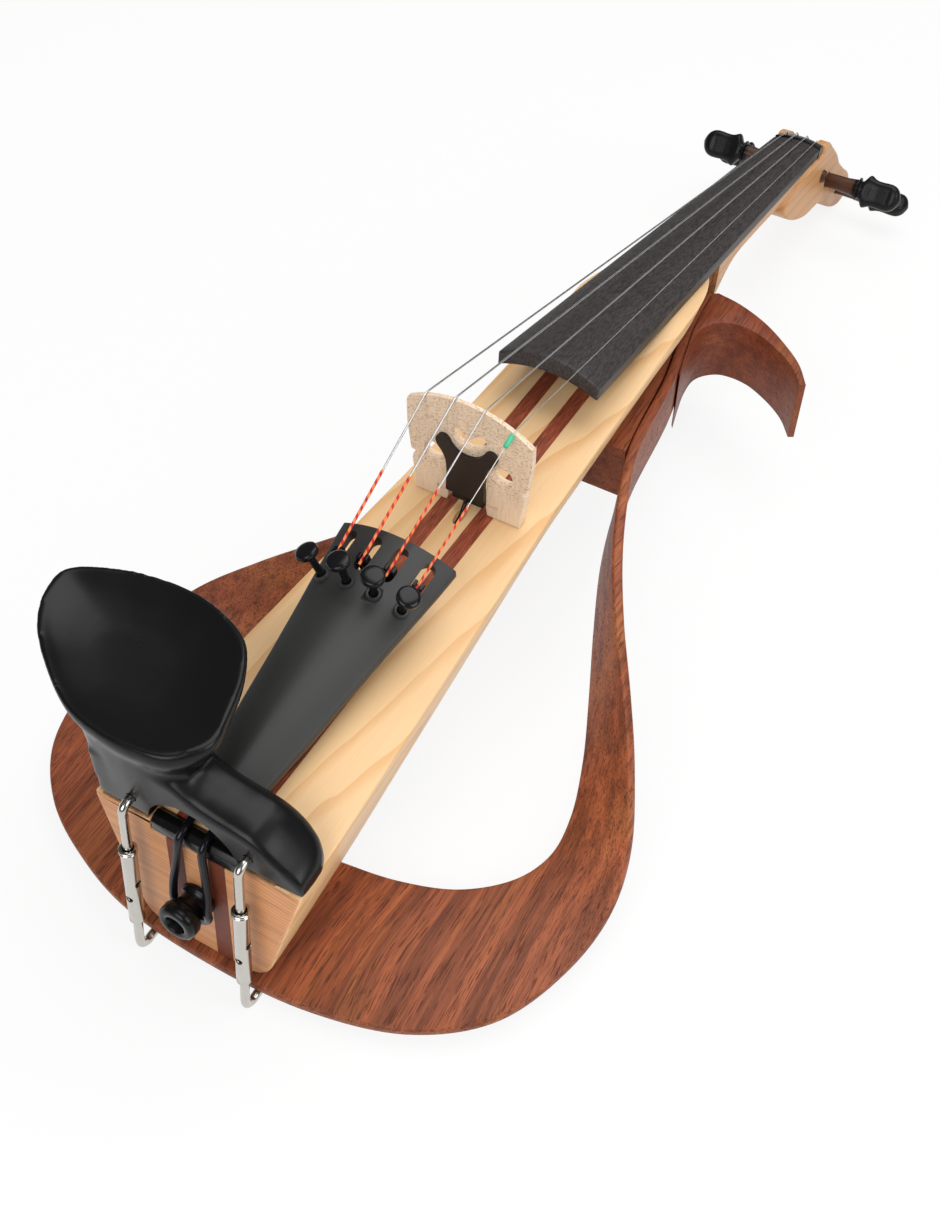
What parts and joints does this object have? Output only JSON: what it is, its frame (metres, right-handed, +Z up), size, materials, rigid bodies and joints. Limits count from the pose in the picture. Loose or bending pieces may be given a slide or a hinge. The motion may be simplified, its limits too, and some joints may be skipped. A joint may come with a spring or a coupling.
{
  "type": "electric violin",
  "caption": "Slim laminated electric violin with a bent walnut frame, black fittings, chin rest, fine tuners, tuning pegs and a bridge pickup.",
  "frame": {"origin": "centre of the ground contact box, with the violin lying on its back on the two chin rest clamps and the end of the pegbox", "axes": "+Y from the chin rest to the pegbox, +X to the treble (E string) side, +Z up, out of the top"},
  "size_m": [0.2064, 0.578, 0.1196],
  "materials": {
    "maple": "satin lacquered pale maple",
    "neck_maple": "satin pale maple",
    "mahogany": "satin mahogany",
    "walnut": "satin red-brown stained walnut, open pores",
    "ebony": "satin black hardwood",
    "bridge_maple": "matte flecked maple",
    "black_plastic": "satin black moulding",
    "black_steel": "semi-gloss black plated steel",
    "steel": "plain steel",
    "string_metal": "wound steel string",
    "nickel": "polished nickel plate",
    "cork": "thin cork sheet",
    "rubber_black": "smooth black nylon",
    "rubber_green": "smooth green tube"
  },
  "bodies": {
    "violin": {"body_bass_side": "maple", "body_bass_stripe": "mahogany", "body_middle": "maple", "body_treble_stripe": "mahogany", "body_treble_side": "maple", "neck": "neck_maple", "neck_block": "walnut", "frame_loop": "walnut", "frame_horn": "walnut", "frame_screw_1": "black_steel", "frame_screw_2": "black_steel", "fingerboard": "ebony", "nut": "ebony", "saddle": "ebony", "bridge": "bridge_maple", "pickup": "black_plastic", "pickup_lead": "rubber_black", "tailpiece": "black_plastic", "tail_gut": "rubber_black", "end_button": "ebony", "chin_rest": "black_plastic", "chin_rest_cork_bass": "cork", "chin_rest_cork_treble": "cork", "clamp_hook_bass": "nickel", "clamp_hook_treble": "nickel", "string_g": "string_metal", "string_d": "string_metal", "string_a": "string_metal", "string_e": "string_metal", "string_sleeve_e": "rubber_green", "control_cover": "black_plastic", "control_cover_screw_1": "black_steel", "control_cover_screw_2": "black_steel", "volume_control": "steel", "jack_socket": "nickel"},
    "peg_g": {"peg_g": "ebony", "string_winding_g": "string_metal"},
    "peg_d": {"peg_d": "ebony", "string_winding_d": "string_metal"},
    "peg_a": {"peg_a": "ebony", "string_winding_a": "string_metal"},
    "peg_e": {"peg_e": "ebony", "string_winding_e": "string_metal"},
    "tuner_screw_g": {"tuner_screw_g": "black_steel"},
    "tuner_screw_d": {"tuner_screw_d": "black_steel"},
    "tuner_screw_a": {"tuner_screw_a": "black_steel"},
    "tuner_screw_e": {"tuner_screw_e": "black_steel"},
    "tuner_knob_g": {"tuner_knob_g": "black_steel"},
    "tuner_knob_d": {"tuner_knob_d": "black_steel"},
    "tuner_knob_a": {"tuner_knob_a": "black_steel"},
    "tuner_knob_e": {"tuner_knob_e": "black_steel"},
    "tuner_lever_g": {"tuner_lever_g": "black_steel"},
    "tuner_lever_d": {"tuner_lever_d": "black_steel"},
    "tuner_lever_a": {"tuner_lever_a": "black_steel"},
    "tuner_lever_e": {"tuner_lever_e": "black_steel"},
    "clamp_barrel_bass": {"clamp_barrel_bass": "nickel"},
    "clamp_barrel_treble": {"clamp_barrel_treble": "nickel"},
    "clamp_foot_bass": {"clamp_foot_bass": "nickel"},
    "clamp_foot_treble": {"clamp_foot_treble": "nickel"},
    "volume_knob": {"volume_knob": "black_plastic"}
  },
  "joints": [
    {"name": "peg_g_turn", "type": "hinge", "parent": "violin", "child": "peg_g", "pos_m": [-0.00262, 0.22641, 0.04129], "axis": [1, 0, 0], "continuous": true},
    {"name": "peg_d_turn", "type": "hinge", "parent": "violin", "child": "peg_d", "pos_m": [-0.00262, 0.25117, 0.02566], "axis": [1, 0, 0], "continuous": true},
    {"name": "peg_a_turn", "type": "hinge", "parent": "violin", "child": "peg_a", "pos_m": [-0.00262, 0.26522, 0.01639], "axis": [1, 0, 0], "continuous": true},
    {"name": "peg_e_turn", "type": "hinge", "parent": "violin", "child": "peg_e", "pos_m": [-0.00262, 0.2382, 0.0337], "axis": [1, 0, 0], "continuous": true},
    {"name": "tuner_g_travel", "type": "slide", "parent": "violin", "child": "tuner_screw_g", "axis": [0.3612, 0.1975, -0.9113], "range_m": [-0.0015, 0.0015]},
    {"name": "tuner_g_turn", "type": "hinge", "parent": "tuner_screw_g", "child": "tuner_knob_g", "pos_m": [-0.01747, -0.1853, 0.08839], "axis": [0.3612, 0.1975, -0.9113], "range_deg": [-1080, 1080]},
    {"name": "tuner_g_lever", "type": "hinge", "parent": "violin", "child": "tuner_lever_g", "pos_m": [-0.01436, -0.17383, 0.08267], "axis": [0.9325, -0.0765, 0.353], "range_deg": [-9, 9]},
    {"name": "tuner_d_travel", "type": "slide", "parent": "violin", "child": "tuner_screw_d", "axis": [0.128, 0.2101, -0.9693], "range_m": [-0.0015, 0.0015]},
    {"name": "tuner_d_turn", "type": "hinge", "parent": "tuner_screw_d", "child": "tuner_knob_d", "pos_m": [-0.00757, -0.18584, 0.09089], "axis": [0.128, 0.2101, -0.9693], "range_deg": [-1080, 1080]},
    {"name": "tuner_d_lever", "type": "hinge", "parent": "violin", "child": "tuner_lever_d", "pos_m": [-0.00647, -0.17426, 0.08467], "axis": [0.9918, -0.0271, 0.1251], "range_deg": [-9, 9]},
    {"name": "tuner_a_travel", "type": "slide", "parent": "violin", "child": "tuner_screw_a", "axis": [-0.128, 0.2101, -0.9693], "range_m": [-0.0015, 0.0015]},
    {"name": "tuner_a_turn", "type": "hinge", "parent": "tuner_screw_a", "child": "tuner_knob_a", "pos_m": [0.00233, -0.18584, 0.09089], "axis": [-0.128, 0.2101, -0.9693], "range_deg": [-1080, 1080]},
    {"name": "tuner_a_lever", "type": "hinge", "parent": "violin", "child": "tuner_lever_a", "pos_m": [0.00123, -0.17426, 0.08467], "axis": [0.9918, 0.0271, -0.1251], "range_deg": [-9, 9]},
    {"name": "tuner_e_travel", "type": "slide", "parent": "violin", "child": "tuner_screw_e", "axis": [-0.3612, 0.1975, -0.9113], "range_m": [-0.0015, 0.0015]},
    {"name": "tuner_e_turn", "type": "hinge", "parent": "tuner_screw_e", "child": "tuner_knob_e", "pos_m": [0.01223, -0.1853, 0.08839], "axis": [-0.3612, 0.1975, -0.9113], "range_deg": [-1080, 1080]},
    {"name": "tuner_e_lever", "type": "hinge", "parent": "violin", "child": "tuner_lever_e", "pos_m": [0.00912, -0.17383, 0.08267], "axis": [0.9325, 0.0765, -0.353], "range_deg": [-9, 9]},
    {"name": "clamp_bass_turn", "type": "hinge", "parent": "violin", "child": "clamp_barrel_bass", "pos_m": [-0.02317, -0.28091, 0.06185], "axis": [0, 0.0735, 0.9973], "range_deg": [0, 2520]},
    {"name": "clamp_bass_travel", "type": "slide", "parent": "violin", "child": "clamp_foot_bass", "axis": [0, -0.0735, -0.9973], "range_m": [0, 0.0056]},
    {"name": "clamp_treble_turn", "type": "hinge", "parent": "violin", "child": "clamp_barrel_treble", "pos_m": [0.01793, -0.28091, 0.06185], "axis": [0, 0.0735, 0.9973], "range_deg": [0, 2520]},
    {"name": "clamp_treble_travel", "type": "slide", "parent": "violin", "child": "clamp_foot_treble", "axis": [0, -0.0735, -0.9973], "range_m": [0, 0.0056]},
    {"name": "volume_turn", "type": "hinge", "parent": "violin", "child": "volume_knob", "pos_m": [-0.00262, -0.18292, 0.02669], "axis": [0, -0.3081, 0.9513], "range_deg": [0, 300]}
  ],
  "couplings": [
    {"joint": "tuner_g_turn", "follows": "tuner_g_travel", "rad_per_m": 12566},
    {"joint": "tuner_g_lever", "follows": "tuner_g_travel", "rad_per_m": 100},
    {"joint": "tuner_d_turn", "follows": "tuner_d_travel", "rad_per_m": 12566},
    {"joint": "tuner_d_lever", "follows": "tuner_d_travel", "rad_per_m": 100},
    {"joint": "tuner_a_turn", "follows": "tuner_a_travel", "rad_per_m": 12566},
    {"joint": "tuner_a_lever", "follows": "tuner_a_travel", "rad_per_m": 100},
    {"joint": "tuner_e_turn", "follows": "tuner_e_travel", "rad_per_m": 12566},
    {"joint": "tuner_e_lever", "follows": "tuner_e_travel", "rad_per_m": 100},
    {"joint": "clamp_bass_turn", "follows": "clamp_bass_travel", "rad_per_m": 7854},
    {"joint": "clamp_treble_turn", "follows": "clamp_treble_travel", "rad_per_m": 7854}
  ]
}
